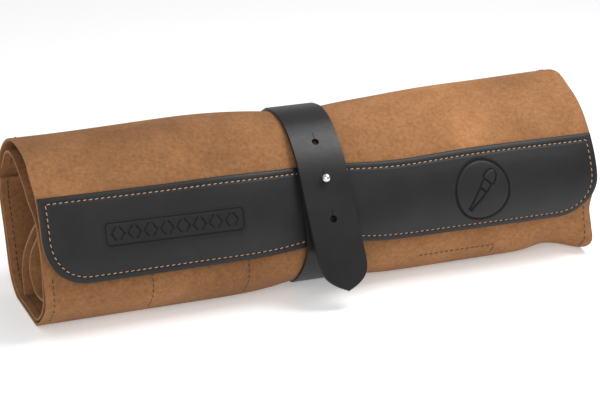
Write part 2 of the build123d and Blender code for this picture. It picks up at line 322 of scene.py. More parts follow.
def noise(nodes, links, place, scale, detail=4.0, rough=0.55, distortion=0.0):
    """Cloudy noise from 0 to 1 at a number of clouds to the metre."""
    texture = nodes.new("ShaderNodeTexNoise")
    texture.inputs["Scale"].default_value = scale
    texture.inputs["Detail"].default_value = detail
    texture.inputs["Roughness"].default_value = rough
    texture.inputs["Distortion"].default_value = distortion
    links.new(place, texture.inputs["Vector"])
    return texture.outputs["Fac"]


def ramp(nodes, links, value, stops):
    """A colour ramp fed by a value; stops are (place, (r, g, b))."""
    node = nodes.new("ShaderNodeValToRGB")
    elements = node.color_ramp.elements
    elements[0].position, elements[0].color = stops[0][0], (*stops[0][1], 1)
    elements[1].position, elements[1].color = stops[-1][0], (*stops[-1][1], 1)
    for position, colour in stops[1:-1]:
        elements.new(position).color = (*colour, 1)
    links.new(value, node.inputs["Fac"])
    return node.outputs["Color"]


def mixed(nodes, links, share, first, second, kind="MIX"):
    """Two colours mixed by a share, which is a socket or a number."""
    node = nodes.new("ShaderNodeMix")
    node.data_type = "RGBA"
    node.blend_type = kind
    inputs = (node.inputs["Factor"], share), (node.inputs["A"], first), (node.inputs["B"], second)
    for socket, value in inputs:
        if hasattr(value, "is_output"):
            links.new(value, socket)
        else:
            socket.default_value = value if isinstance(value, float) else (*value, 1)
    return node.outputs["Result"]


def dulled(nodes, links, rough, pressed, share):
    """Roughness plus a share of a pressed mark, kept between 0 and 1."""
    node = nodes.new("ShaderNodeMath")
    node.operation = "MULTIPLY_ADD"
    node.use_clamp = True
    links.new(pressed, node.inputs[0])
    node.inputs[1].default_value = share
    links.new(rough, node.inputs[2])
    return node.outputs["Value"]


def between(nodes, links, value, low, high):
    """A value from 0 to 1 carried to the range from low to high."""
    node = nodes.new("ShaderNodeMapRange")
    node.inputs["To Min"].default_value = low
    node.inputs["To Max"].default_value = high
    links.new(value, node.inputs["Value"])
    return node.outputs["Result"]


def attribute(nodes, name):
    """A number painted on the piece's points, 0 where the piece has none."""
    node = nodes.new("ShaderNodeAttribute")
    node.attribute_name = name
    return node.outputs["Fac"]


def bumped(nodes, links, shader, height, strength, distance, below=None):
    """Fine relief from a height, on top of the relief below it."""
    node = nodes.new("ShaderNodeBump")
    node.inputs["Strength"].default_value = strength
    node.inputs["Distance"].default_value = distance
    links.new(height, node.inputs["Height"])
    if below is not None:
        links.new(below, node.inputs["Normal"])
    links.new(node.outputs["Normal"], shader.inputs["Normal"])
    return node.outputs["Normal"]


def suede_material(name, light, dark, pale_edge):
    """Brushed suede: mottled by soft clouds and a fine nap, with a paler cut edge."""
    material, nodes, links, shader, place = base_material(name)
    clouds = noise(nodes, links, place, 19, 3, 0.5, 0.4)
    nap = noise(nodes, links, place, 420, 6, 0.7)
    fleck = noise(nodes, links, place, 150, 4, 0.65, 0.6)
    colour = ramp(nodes, links, clouds, [(0.34, dark), (0.68, light)])
    grain = ramp(nodes, links, nap, [(0.32, (0.6, 0.57, 0.54)), (0.68, (1.12, 1.12, 1.1))])
    colour = mixed(nodes, links, 0.75, colour, grain, "MULTIPLY")
    spots = ramp(nodes, links, fleck, [(0.36, (0.78, 0.74, 0.7)), (0.6, (1.05, 1.05, 1.04))])
    colour = mixed(nodes, links, 0.3, colour, spots, "MULTIPLY")
    # Painted highlight: the suede is made paler where the pale patches are painted on the top of the roll,
    # partly the nap lying the other way.
    colour = mixed(nodes, links, attribute(nodes, "nap_and_painted_highlight"), colour, PALE_NAP_AND_HIGHLIGHT, "MULTIPLY")
    colour = mixed(nodes, links, attribute(nodes, "cut_edge"), colour, pale_edge)
    links.new(colour, shader.inputs["Base Color"])
    shader.inputs["Roughness"].default_value = 0.93
    shader.inputs["Specular IOR Level"].default_value = 0.18
    shader.inputs["Sheen Weight"].default_value = 0.12
    shader.inputs["Sheen Roughness"].default_value = 0.5
    shader.inputs["Sheen Tint"].default_value = (0.85, 0.55, 0.35, 1)
    soft = bumped(nodes, links, shader, fleck, 0.18, 0.0012)
    bumped(nodes, links, shader, nap, 0.35, 0.0004, below=soft)
    return material


def smooth_leather_material(name, colour, rough):
    """Smooth dyed leather: tiny pores, faint creases, a soft shine, browner worn edges."""
    material, nodes, links, shader, place = base_material(name)
    pores = nodes.new("ShaderNodeTexVoronoi")
    pores.inputs["Scale"].default_value = 900
    links.new(place, pores.inputs["Vector"])
    clouds = noise(nodes, links, place, 30, 4, 0.6, 0.3)
    fine = noise(nodes, links, place, 260, 5, 0.6)
    darker = tuple(c * 0.72 for c in colour)
    lighter = tuple(c * 1.25 for c in colour)
    tone = ramp(nodes, links, clouds, [(0.3, darker), (0.7, lighter)])
    # Painted shade in the pressed recesses: the colour falls nearly to black there, and the roughness
    # rises.
    pressed = attribute(nodes, "pressed_shade")
    tone = mixed(nodes, links, pressed, tone, tuple(c * 0.15 for c in colour))
    worn = mixed(nodes, links, attribute(nodes, "cut_edge"), tone, (0.018, 0.014, 0.012))
    links.new(worn, shader.inputs["Base Color"])
    uneven = between(nodes, links, fine, rough - 0.05, rough + 0.08)
    links.new(dulled(nodes, links, uneven, pressed, 0.4), shader.inputs["Roughness"])
    shader.inputs["Specular IOR Level"].default_value = 0.3
    soft = bumped(nodes, links, shader, fine, 0.12, 0.0005)
    bumped(nodes, links, shader, pores.outputs["Distance"], 0.1, 0.0002, below=soft)
    return material


def thread_material(name, colour):
    """Waxed linen thread, finely flecked dark and light."""
    material, nodes, links, shader, place = base_material(name)
    twist = noise(nodes, links, place, 1500, 3, 0.6)
    tone = ramp(nodes, links, twist, [(0.3, tuple(c * 0.6 for c in colour)), (0.7, colour)])
    links.new(tone, shader.inputs["Base Color"])
    shader.inputs["Roughness"].default_value = 0.7
    bumped(nodes, links, shader, twist, 0.4, 0.0003)
    return material


def metal_material(name):
    """Polished nickel with a faint haze and a little tarnish."""
    material, nodes, links, shader, place = base_material(name)
    haze = noise(nodes, links, place, 600, 4, 0.6)
    tone = ramp(nodes, links, haze, [(0.3, (0.62, 0.61, 0.59)), (0.7, (0.78, 0.77, 0.75))])
    links.new(tone, shader.inputs["Base Color"])
    shader.inputs["Metallic"].default_value = 1.0
    links.new(between(nodes, links, haze, 0.12, 0.24), shader.inputs["Roughness"])
    return material


# Pale patches on the top of the roll, partly the nap lying the other way and partly a painted highlight:
# the middle along the roll, the reach and the share of each one
NAP_AND_HIGHLIGHT_PATCHES = ((88.0, 48.0, 1.0), (-180.0, 40.0, 0.2))
# Heights at which the pale patches begin and reach full strength: a painted highlight on the top of the
# roll, none down its sides.
LIT_TOP_FROM, LIT_TOP_FULL = 55.0, 90.0
PALE_NAP_AND_HIGHLIGHT = (1.42, 1.42, 1.40)
SUEDE_FACE = suede_material(
    "tan_suede", light=(0.340, 0.162, 0.070), dark=(0.228, 0.106, 0.045), pale_edge=(0.30, 0.157, 0.075),
)
BLACK = smooth_leather_material("black_leather", (0.0125, 0.0115, 0.0125), 0.46)
BLACK_STRAP = smooth_leather_material("black_strap_leather", (0.0115, 0.0103, 0.0110), 0.37)
THREAD = thread_material("tan_thread", (0.50, 0.31, 0.205))
DARK_THREAD = thread_material("brown_thread", (0.075, 0.038, 0.020))
NICKEL = metal_material("nickel_plate")


# ---------------------------------------------------------------- lines on the sheets
INNER = np.array([
    [(-50.5, 27), (-44.5, 29), (-39.5, 22)],
    [(-49, 37), (-45, 39), (-38.5, 32)],
    [(-47, 52), (-40.5, 51), (-43, 48)],
    [(-42, 70), (-33.5, 66), (-40.5, 63)],
    [(-34.5, 85), (-26.5, 79.5), (-30, 79)],
    [(-23.5, 93), (-18, 90), (-17, 92.5)],
    [(-11, 102), (-6, 99.5), (-2, 101)],
    [(14, 103.5), (11, 102.5), (14, 106)],
    [(34, 95), (31, 92.5), (33, 100)],
    [(48, 80), (44, 77), (47, 82)],
])
WHOLE = np.concatenate([OUTER, INNER])
UNDER_FLAP = len(OUTER)
LEFT_SAG = np.zeros((len(WHOLE), 2))
LEFT_SAG[UNDER_FLAP + 3:UNDER_FLAP + 8] = [(1, -3), (3, -10), (4, -13), (4, -14), (2, -6)]
LEFT_FLARE = np.zeros((len(WHOLE), 2))
LEFT_FLARE[LOWER_FRONT:UNDER_FLAP + 2] = [(-2, 0), (-3.5, 1), (-2.5, 1)]
RIGHT_FLARE = np.zeros((len(WHOLE), 2))
RIGHT_FLARE[BOTTOM_FRONT:UNDER_FLAP + 1] = [(-4, -2.2), (-6, -4.5), (-2.5, -2)]
RIGHT_TUCK = np.zeros((len(WHOLE), 2))
RIGHT_TUCK[BOTTOM_FRONT:UNDER_FLAP + 1] = [(1.5, 2.5), (2.5, 3), (1.5, 1.5)]

POCKET = np.array([
    [(54.3, 71), (48, 74), (51, 76)],
    [(54.6, 60), (50, 59), (53.5, 61)],
    [(46.4, 38), (45.5, 38), (46.5, 37)],
    [(37, 13.5), (37, 19), (36, 15)],
    [(21, 3.6), (19, 10), (19, 4.5)],
    [(-4, 3.4), (-4, 9), (-4, 4)],
    [(-25.5, 4.2), (-24, 11), (-22, 6)],
    [(-43, 18.5), (-37, 22.5), (-34, 17)],
    [(-45, 35), (-41, 38), (-35, 31)],
    [(-43, 52), (-36.5, 51), (-39, 47)],
    [(-38.5, 60), (-30, 64), (-36.5, 61)],
    [(-36, 66.5), (-24, 74), (-29, 72)],
])
GUARD = np.array([
    [(-39, 21.5), (-31, 29), (-29, 23)],
    [(-21, 20), (-35, 39), (-31, 33)],
    [(-7.5, 29), (-32, 49), (-34.5, 45)],
    [(-12, 43), (-27.5, 58), (-33, 56)],
    [(-24.5, 55), (-23, 66), (-29.5, 64)],
    [(-32.5, 63.5), (-20, 70), (-25, 68)],
    [(-25, 66), (-17, 65), (-22, 63)],
    [(4.5, 39), (-21, 52), (-27, 51)],
    [(13, 20), (-25, 40), (-26, 38)],
    [(9, 7.5), (-22, 30), (-22, 27)],
])

# The flap's own measure across: millimetres up from its free edge along its face
ROW_REACH = round_reach(blended(OUTER, ROLL_SIDES))
BAND_LOW = 0.5
BAND_HIGH = ROW_REACH[BAND_TOP] + 0.5
BAND_HALF = HALF_LENGTH - 0.5
BAND_CORNER = 28.0
STITCH_INSET = 4.3
END_INSET = 5.0
POCKET_SEAMS = (-121.0, -57.0)
LEVEL_SEAM, LEVEL_SEAM_DROP = (62.0, 118.0), 12.0
# Where the seams run round the cover, in rows of WHOLE, and the pocket's row at its lower front
FRONT_SEAM_ROWS = (BOTTOM_FRONT + 0.45, UNDER_FLAP + 1.2)
BACK_SEAM_ROWS = (RIDGE + 0.4, BACK_HIGH + 3.4)
INNER_SEAM_ROWS = (len(WHOLE) - 3, len(WHOLE) - 1)
LEVEL_SEAM_ROW = LOWER_FRONT + 0.25
POCKET_FRONT, POCKET_SEAM_FROM = 7, 3.0


def spread_at_left(rows, x):
    """The rows' lines, with the inner turn sagging near the left end, and the lower front
    flared at both ends and tucked in just before the right end."""
    near = x + HALF_LENGTH
    curl = np.exp(-((HALF_LENGTH - x) / 10) ** 2)[:, None, None] * RIGHT_FLARE
    tuck = np.exp(-((HALF_LENGTH - 26 - x) / 13) ** 2)[:, None, None] * RIGHT_TUCK
    flare = np.exp(-(near / 11) ** 2)[:, None, None] * LEFT_FLARE
    sag = np.exp(-(near / 42) ** 2)[:, None, None] * LEFT_SAG
    return blended(rows, x) + flare + sag + curl + tuck


def flap_place(up):
    """The place in rows of a distance up the flap from its free edge."""
    return np.interp(up, ROW_REACH, np.arange(len(ROW_REACH)))


def lay(x, place, height, rows=WHOLE):
    """Points at a height above a sheet's middle, at x and at places in rows; x and place have
    the same shape. The way out is the cross product of two short steps."""
    flat_x, flat_place = x.ravel(), place.ravel()
    step = 0.4

    def point(px, pl):
        lines = spread_at_left(rows, px) if rows is WHOLE else blended(rows, px)
        return surface(px, line_at(lines, pl[:, None]))[:, 0]

    here = point(flat_x, flat_place)
    along_x = point(flat_x + step, flat_place) - point(flat_x - step, flat_place)
    along_s = point(flat_x, flat_place + 0.02) - point(flat_x, flat_place - 0.02)
    out = np.cross(along_x, along_s)
    out /= np.linalg.norm(out, axis=1, keepdims=True)
    lifted = here + out * np.ravel(height + np.zeros(x.shape))[:, None]
    return lifted.reshape(*x.shape, 3), out.reshape(*x.shape, 3)


def corner_columns(half, corner, count, arc_count=18):
    """x places from end to end, closer where the corners are round."""
    turn = np.linspace(0, np.pi / 2, arc_count)
    bow = corner * (1 - np.cos(turn))
    middle = np.linspace(-half + corner, half - corner, count)[1:-1]
    return np.concatenate([-half + bow, middle, (half - bow)[::-1]])


def lower_edge(x, half, corner, low):
    """Height of the lower edge at each x: straight, with a quarter circle at each end."""
    inside = np.clip(corner - (half - np.abs(x)), 0, corner)
    return low + corner - np.sqrt(corner ** 2 - inside ** 2)


def rounded_distance(x, up):
    """Distance in from the band's outline, whose two lower corners are quarter circles."""
    from_side = BAND_HALF - np.abs(x)
    from_edge = np.minimum(up - BAND_LOW, BAND_HIGH - up)
    in_corner = (from_side < BAND_CORNER) & (up - BAND_LOW < BAND_CORNER)
    radial = BAND_CORNER - np.hypot(BAND_CORNER - from_side, BAND_CORNER - (up - BAND_LOW))
    return np.where(in_corner, radial, np.minimum(from_side, from_edge))


def soft_step(value, low, high):
    """0 below low, 1 above high, and a smooth S between."""
    t = np.clip((value - low) / (high - low), 0, 1)
    return t * t * (3 - 2 * t)


def rounded_box(x, y, half_x, half_y, corner):
    """Signed distance from a rectangle with round corners, negative inside."""
    qx, qy = np.abs(x) - half_x + corner, np.abs(y) - half_y + corner
    outside = np.hypot(np.maximum(qx, 0), np.maximum(qy, 0))
    return outside + np.minimum(np.maximum(qx, qy), 0) - corner


def drawn(distance, width=0.55):
    """A pressed line along the zero of a distance."""
    return 1 - soft_step(np.abs(distance), width, width + 0.5)


def brush_badge(x, y):
    """Depth of a round badge: a ring, and a slanted brush with a handle, ferrule and tip."""
    ring = drawn(np.hypot(x, y) - BADGE_R, 0.6)
    c, s = math.cos(math.radians(BRUSH_SLANT)), math.sin(math.radians(BRUSH_SLANT))
    a, b = x * c + y * s, -x * s + y * c
    handle_half = 1.0 + 1.5 * soft_step(a, -15, 0)
    handle = drawn(np.maximum(np.abs(b) - handle_half, np.abs(a + 7) - 7.5))
    ferrule = drawn(rounded_box(a - 3.6, b, 3.0, 3.0, 0.4))
    bristle_half = 4.2 * np.sqrt(np.clip(1 - ((a - 8.5) / 6.5) ** 2, 0, 1))
    bristles = drawn(np.abs(b) - bristle_half) * (a > 6.6) * (a < 15.4)
    return np.maximum.reduce([ring, handle, ferrule, bristles])


# ---------------------------------------------------------------- suede sheets
COVER_GRID = (190, 200)
FLAP_GRID = (150, 90)
INNER_COLUMNS = 150
FLAP_CORNER = BAND_CORNER + 1.2


def make_cover():
    """The cover from the ridge round the back, the bottom and the lower front to the end of
    its inner turn: the lines of WHOLE at even places along the roll and round it."""
    x = np.linspace(-HALF_LENGTH, HALF_LENGTH, COVER_GRID[0])
    place = np.linspace(RIDGE, len(WHOLE) - 1, COVER_GRID[1])
    wide, places = np.meshgrid(x, place, indexing="ij")
    grid, out = lay(wide, places, 0)
    piece = thick_sheet("cover_leather", grid, SUEDE, SUEDE_FACE, normal=out, joint=0)
    # Paints the pale patches, a painted highlight on the top of the roll.
    paint_nap_and_highlight(piece)
    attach(piece, "roll")
    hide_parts("cover")


def make_flap():
    """The flap from its free edge, whose corners are quarter circles, up to the ridge."""
    x = corner_columns(HALF_LENGTH, FLAP_CORNER, FLAP_GRID[0])
    low = lower_edge(x, HALF_LENGTH, FLAP_CORNER, 0.0)
    share = np.linspace(0, 1, FLAP_GRID[1])[None, :]
    top = ROW_REACH[RIDGE]
    place = flap_place(low[:, None] + (top - low[:, None]) * share)
    grid, out = lay(np.broadcast_to(x[:, None], place.shape), place, 0)
    piece = thick_sheet("flap_leather", grid, SUEDE, SUEDE_FACE, normal=out, joint=-1)
    # Paints the pale patches, a painted highlight on the top of the roll.
    paint_nap_and_highlight(piece)
    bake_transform(piece)
    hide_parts("flap")


def make_inner_sheet(name, rows, node, inset, count):
    """A sheet inside the roll, a little shorter than it: the lines of its rows at even places
    along the roll and round it."""
    x = np.linspace(-HALF_LENGTH + inset, HALF_LENGTH - inset, INNER_COLUMNS)
    place = np.linspace(0, len(rows) - 1, count)
    places = np.broadcast_to(place[None, :], (len(x), count))
    grid = surface(x, line_at(blended(rows, x), places))
    piece = thick_sheet(name, grid, SUEDE, SUEDE_FACE)
    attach(piece, "roll")
    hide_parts(node)


# ---------------------------------------------------------------- band
BAND_GRID = (500, 84)
PANEL_X, PANEL_UP, PANEL_HALF_X, PANEL_HALF_UP = -106.0, 28.0, 47.0, 9.0
BORDER_INSET = 2.6
LOZENGE_PITCH, LOZENGE_HALF_X, LOZENGE_HALF_UP = 10.5, 4.2, 5.4
BADGE_X, BADGE_UP, BADGE_R, BRUSH_SLANT = 104.0, 27.5, 19.0, 52.0
THIN_EDGE, EDGE_FALL, STITCH_GROOVE, FULL_FIELD = 0.5, 0.12, 0.3, 0.2
PANEL_DEPTH, BORDER_DEPTH, LOZENGE_DEPTH, BADGE_DEPTH, HOLE_DEPTH = 0.3, 0.4, 0.5, 0.6, 0.25


def needle_holes(x, up):
    """1 at the needle holes, two to each stitch, falling to 0 round them as a bell curve of the
    distance to the nearest."""
    closest = np.full(x.shape, 1e9)
    for hole_x, hole_up in spaced(band_path(), STITCH_PITCH / 2):
        near = np.abs(x[:, 0] - hole_x) < 3
        square = (x[near] - hole_x) ** 2 + (up[near] - hole_up) ** 2
        closest[near] = np.minimum(closest[near], square)
    return np.exp(-closest / 0.55 ** 2)


def make_band():
    """The band stands on the flap. Its face is a sum of soft steps of the distance in from
    its outline: thin at the edge, a bell-shaped groove under the stitches and a fuller field
    inside them. The panel, its border and lozenges, the badge and the needle holes are
    pressed in, and painted shade darkens these recesses and the stitch groove."""
    x = corner_columns(BAND_HALF, BAND_CORNER, BAND_GRID[0], 24)
    low = lower_edge(x, BAND_HALF, BAND_CORNER, BAND_LOW)
    share = np.linspace(0, 1, BAND_GRID[1])[None, :]
    up = low[:, None] + (BAND_HIGH - low[:, None]) * share
    wide = np.broadcast_to(x[:, None], up.shape)
    grid = lay(wide, flap_place(up), (SUEDE + BAND) / 2)[0]
    inside = rounded_distance(wide, up)
    panel = rounded_box(wide - PANEL_X, up - PANEL_UP, PANEL_HALF_X, PANEL_HALF_UP, 5.0)
    sunk = 1 - soft_step(panel, -0.5, 0.6)
    border = 1 - soft_step(np.abs(panel + BORDER_INSET), 0.25, 0.7)
    across_it = np.abs((wide - PANEL_X) % LOZENGE_PITCH - LOZENGE_PITCH / 2)
    lozenge = across_it / LOZENGE_HALF_X + np.abs(up - PANEL_UP) / LOZENGE_HALF_UP
    tooled = (1 - soft_step(np.abs(lozenge - 1), 0.08, 0.2)) * (panel < -5)
    badge = brush_badge(wide - BADGE_X, up - BADGE_UP)
    holes = needle_holes(wide, up)
    lift = FULL_FIELD * soft_step(inside, 6.2, 13)
    lift -= THIN_EDGE * (1 - soft_step(inside, 0.0, 1.2)) + EDGE_FALL * (1 - soft_step(inside, 1.0, 5.0))
    lift -= STITCH_GROOVE * np.exp(-((inside - STITCH_INSET) / 0.7) ** 2)
    lift -= PANEL_DEPTH * sunk + BORDER_DEPTH * border + LOZENGE_DEPTH * tooled
    lift -= BADGE_DEPTH * badge + HOLE_DEPTH * holes
    groove = np.exp(-((inside - STITCH_INSET) / 0.6) ** 2)
    # Painted shade: the pressed panel, border, lozenges and badge, the stitch groove and the needle holes
    # are darkened in colour.
    pressed = [0.3 * sunk, border, tooled, badge, 0.7 * groove, 1.4 * holes]
    pressed_shade = np.clip(np.maximum.reduce(pressed), 0, 1)
    piece = thick_sheet("band_leather", grid, BAND, BLACK, lift=lift, pressed_shade=pressed_shade)
    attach(piece, "flap")
    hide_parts("trim_band")


# ---------------------------------------------------------------- stitches
STITCH_SLANT = 0.12
ROD_PLACES = np.array([-0.5, -0.36, 0.0, 0.36, 0.5])
ROD_WIDTHS = np.array([0.35, 0.85, 1.0, 0.85, 0.35])
ROD_HEIGHTS = np.array([-0.35, 0.1, 0.28, 0.1, -0.35])
ROD_SIDES = 6


def stitch_run(name, centres, ways, outs, material, length, thick):
    """A row of stitches: each a short rod with blunt ends that dip into the leather.
    All rods at once: five rings of six points about each centre, along its own direction,
    turned a little off the seam."""
    ways = ways / np.linalg.norm(ways, axis=1, keepdims=True)
    side = np.cross(outs, ways)
    side /= np.linalg.norm(side, axis=1, keepdims=True)
    ways = ways + STITCH_SLANT * side
    ways /= np.linalg.norm(ways, axis=1, keepdims=True)
    side = np.cross(outs, ways)
    along, width, height = ROD_PLACES * length, ROD_WIDTHS * thick, ROD_HEIGHTS * thick
    turn = np.linspace(0, 2 * np.pi, ROD_SIDES, endpoint=False)
    ring = (np.cos(turn)[None, :, None, None] * side[:, None, None, :]).transpose(0, 2, 1, 3)
    lift = (np.sin(turn)[None, :, None, None] * outs[:, None, None, :]).transpose(0, 2, 1, 3)
    points = (centres[:, None, None, :] + along[None, :, None, None] * ways[:, None, None, :]
              + height[None, :, None, None] * outs[:, None, None, :]
              + width[None, :, None, None] * (ring + 0.75 * lift))
    size = len(ROD_PLACES) * ROD_SIDES
    first, last = np.arange(ROD_SIDES)[::-1], np.arange(size - ROD_SIDES, size)
    one = [*strips(len(ROD_PLACES), ROD_SIDES, closed=True), first, last]
    faces = [face + size * k for k in range(len(centres)) for face in one]
    piece = new_piece(name, points.reshape(-1, 3), faces, material)
    facing_out(piece)
    return piece


def spaced(path, pitch):
    """Middles and directions of equal steps along a path of points in the plane."""
    steps = np.linalg.norm(np.diff(path, axis=0), axis=1)
    reach = np.concatenate([[0], np.cumsum(steps)])
    count = max(2, int(round(reach[-1] / pitch)))
    middle = (np.arange(count) + 0.5) * reach[-1] / count
    return np.stack([np.interp(middle, reach, path[:, k]) for k in range(2)], axis=1)


def band_path():
    """The stitch line: round the band at its inset, with smaller quarter circles below."""
    half, corner = BAND_HALF - STITCH_INSET, BAND_CORNER - STITCH_INSET
    low, high = BAND_LOW + STITCH_INSET, BAND_HIGH - STITCH_INSET
    turn = np.linspace(0, np.pi / 2, 12)
    middle, level = half - corner, low + corner
    left = np.stack([-middle - corner * np.cos(turn), level - corner * np.sin(turn)], axis=1)
    right = np.stack([middle + corner * np.sin(turn), level - corner * np.cos(turn)], axis=1)
    top_left, top_right = np.array([[-half, high]]), np.array([[half, high]])
    return np.concatenate([top_left, left, right, top_right, top_left])


def stitch_on(name, flat, place_of, height, material, length=2.5, thick=0.34, rows=WHOLE):
    """Stitches at flat points (x, second measure); place_of turns that measure into rows. Each
    one's direction is the step from its point to one close ahead on the sheet."""
    ahead = np.roll(flat, -1, axis=0) - np.roll(flat, 1, axis=0)
    ahead[0], ahead[-1] = flat[1] - flat[0], flat[-1] - flat[-2]
    ahead /= np.linalg.norm(ahead, axis=1, keepdims=True)
    centre, out = lay(flat[:, 0], place_of(flat[:, 1]), height, rows)
    nearby = flat + ahead * 0.05
    further = lay(nearby[:, 0], place_of(nearby[:, 1]), height, rows)[0]
    return stitch_run(name, centre, further - centre, out * np.sign(height), material, length, thick)


def make_band_stitches():
    """The row of tan stitches in the band's groove."""
    flat = spaced(band_path(), STITCH_PITCH)
    piece = stitch_on("band_stitches", flat, flap_place, SUEDE / 2 + BAND - 0.32, THREAD)
    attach(piece, "flap")
    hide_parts("band_thread")


def make_seams():
    """Pocket seams up the lower front, one along it at the right, and a seam by each end,
    which shows on the pocket panel inside and on the inner turn as well."""
    reach = round_reach(blended(WHOLE, ROLL_SIDES))
    pocket_reach = round_reach(blended(POCKET, ROLL_SIDES))
    index, pocket_index = np.arange(len(reach)), np.arange(len(pocket_reach))

    def on_cover(round_it):
        return np.interp(round_it, reach, index)

    def on_pocket(round_it):
        return np.interp(round_it, pocket_reach, pocket_index)

    front = np.interp(FRONT_SEAM_ROWS, index, reach)
    back = np.interp(BACK_SEAM_ROWS, index, reach)
    level = np.interp(LEVEL_SEAM_ROW, index, reach)
    inner = np.interp(INNER_SEAM_ROWS, index, reach) - [0, END_INSET]
    ends = HALF_LENGTH - END_INSET
    level_from, level_to = LEVEL_SEAM
    lines = [[(x, front[0]), (x, front[1])] for x in (*POCKET_SEAMS, -ends, ends)]
    lines += [[(x, back[0]), (x, back[1])] for x in (-ends, ends)]
    lines.append([(level_from, level), (level_to, level), (level_to, level - LEVEL_SEAM_DROP)])
    inside = [([(x, inner[0]), (x, inner[1])], on_cover, WHOLE) for x in (-ends, ends)]
    pocket = (POCKET_SEAM_FROM, pocket_reach[POCKET_FRONT])
    inside += [([(x, pocket[0]), (x, pocket[1])], on_pocket, POCKET) for x in (-ends, ends)]
    face = SUEDE / 2 + 0.08
    runs = [(line, on_cover, face, WHOLE) for line in lines]
    runs += [(line, place_of, -face, rows) for line, place_of, rows in inside]
    pieces = []
    for number, (line, place_of, height, rows) in enumerate(runs):
        flat = spaced(np.array(line), STITCH_PITCH)
        pieces.append(stitch_on(f"seam_{number}", flat, place_of, height, DARK_THREAD, 2.7, 0.38, rows))
    piece = joined("cover_stitches", pieces)
    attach(piece, "roll")
    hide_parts("cover_seams")


# ---------------------------------------------------------------- strap
STUD_FOOT = np.array([STRAP_X, -39.0, 76.6])
STUD_AXIS = np.array([0.0, -0.884, 0.467])
TONGUE = np.array([
    (-71.5, 12.5), (-67.6, 24.5), (-62.6, 37.2), (-56, 51.5), (-48.3, 66.4), (-42, 78.2),
    (-35.5, 87.4), (-28, 95.3), (-19, 102.2), (-8.5, 107.6), (4, 110.1),
])
STUD_END = np.array([
    (-20, 4.1), (-27, 5.7), (-35, 10.8), (-43.5, 19), (-50.2, 28.5), (-53.6, 38.5),
    (-50.6, 52), (-44.2, 66.5), (-39.2, 76.6), (-35.6, 83.6),
])
STUD_ROW = 5
TONGUE_SLANT, SLANT_REACH = 5.0, 72.0
TIP_LENGTH, TIP_FULLNESS, TIP_STEPS = 27.0, 4.2, 16
STRAP_LIFT = SUEDE / 2 + 0.5 + STRAP / 2
STRAP_STEP, STRAP_COLUMNS, ROUTE_POINTS = 1.6, 13, 2000
HOLE_PITCH, HOLE_R = 25.0, 2.35
SLIT_ABOVE, SLIT_HALF_LENGTH, SLIT_HALF_WIDTH = 2.2, 2.6, 0.16
CUT_REACH = 6.0


def strap_route():
    """The whole strap's middle line from the tongue's tip over the ridge, down the back and
    under the waist to the stud end's top: a smooth curve through its rows, in even steps and,
    by the tip, steps that grow as 1 - cos. Also the places along it, and the columns where
    the back and the stud end begin."""
    place = np.linspace(RIDGE + 0.25, BOTTOM_FRONT - 0.55, 40)[None, :]
    middle = line_at(blended(OUTER, np.array([STRAP_X])), place)
    back = (middle + across(middle) * STRAP_LIFT)[0]
    rows = np.concatenate([TONGUE, back, STUD_END])
    fine = smooth_line(rows[None], ROUTE_POINTS)
    reach, fine = round_reach(fine), fine[0]
    tip = TIP_LENGTH * (1 - np.cos(np.linspace(0, np.pi / 2, TIP_STEPS)))
    even = np.concatenate([tip[:-1], np.arange(TIP_LENGTH, reach[-1], STRAP_STEP), reach[-1:]])
    line = np.stack([np.interp(even, reach, fine[:, k]) for k in range(2)], axis=1)
    start_of_back = int(np.argmin(np.hypot(*(line - back[0]).T)))
    start_of_stud_end = int(np.argmin(np.hypot(*(line - STUD_END[0]).T)))
    return line, even, start_of_back, start_of_stud_end


def strap_slant(reach):
    """How far the tongue leans to the right, most at its tip and none past the stud."""
    return TONGUE_SLANT * np.clip(1 - reach / SLANT_REACH, 0, 1) ** 1.5


def strap_pieces():
    """The strap's three lengths, cut from one grid so that their faces run on. The width of
    the pointed end is the full width times 1 - (1 - t) to the power of its fullness."""
    line, reach, first, second = strap_route()
    t = np.clip(reach / TIP_LENGTH, 0, 1)
    widths = STRAP_WIDTH / 2 * (1 - (1 - t) ** TIP_FULLNESS) + 0.02
    across_it = np.linspace(-1, 1, STRAP_COLUMNS)
    x = STRAP_X + across_it[:, None] * widths[None, :] + strap_slant(reach)[None, :]
    y, z = (np.broadcast_to(line[:, k], x.shape) for k in range(2))
    grid = np.stack([x, y, z], axis=-1)
    way = np.gradient(line, axis=0)
    way /= np.linalg.norm(way, axis=1, keepdims=True)
    out = np.stack([np.zeros(len(way)), -way[:, 1], way[:, 0]], axis=-1)
    out = np.broadcast_to(out, grid.shape)
    cuts = (
        ("tongue_leather", slice(0, first + 1), -1),
        ("strap_back_leather", slice(first, second + 1), None),
        ("stud_end_leather", slice(second, None), 0),
    )
    pieces = []
    for name, part, joint in cuts:
        pieces.append(thick_sheet(
            name, grid[:, part], STRAP, BLACK_STRAP, rim_round=0.5, normal=out[:, part], joint=joint,
        ))
    return pieces, line, reach, out[0]


def punch(piece, cutters):
    """Cuts the cutters out of a piece and throws them away."""
    for number, cutter in enumerate(cutters):
        cut = piece.modifiers.new(f"punch_{number}", "BOOLEAN")
        cut.operation = "DIFFERENCE"
        cut.solver = "EXACT"
        cut.object = cutter
    shown = piece.evaluated_get(bpy.context.evaluated_depsgraph_get())
    mesh = bpy.data.meshes.new_from_object(shown)
    piece.modifiers.clear()
    piece.data = mesh
    for cutter in cutters:
        bpy.data.objects.remove(cutter)
    mesh.set_sharp_from_angle(angle=math.radians(40))


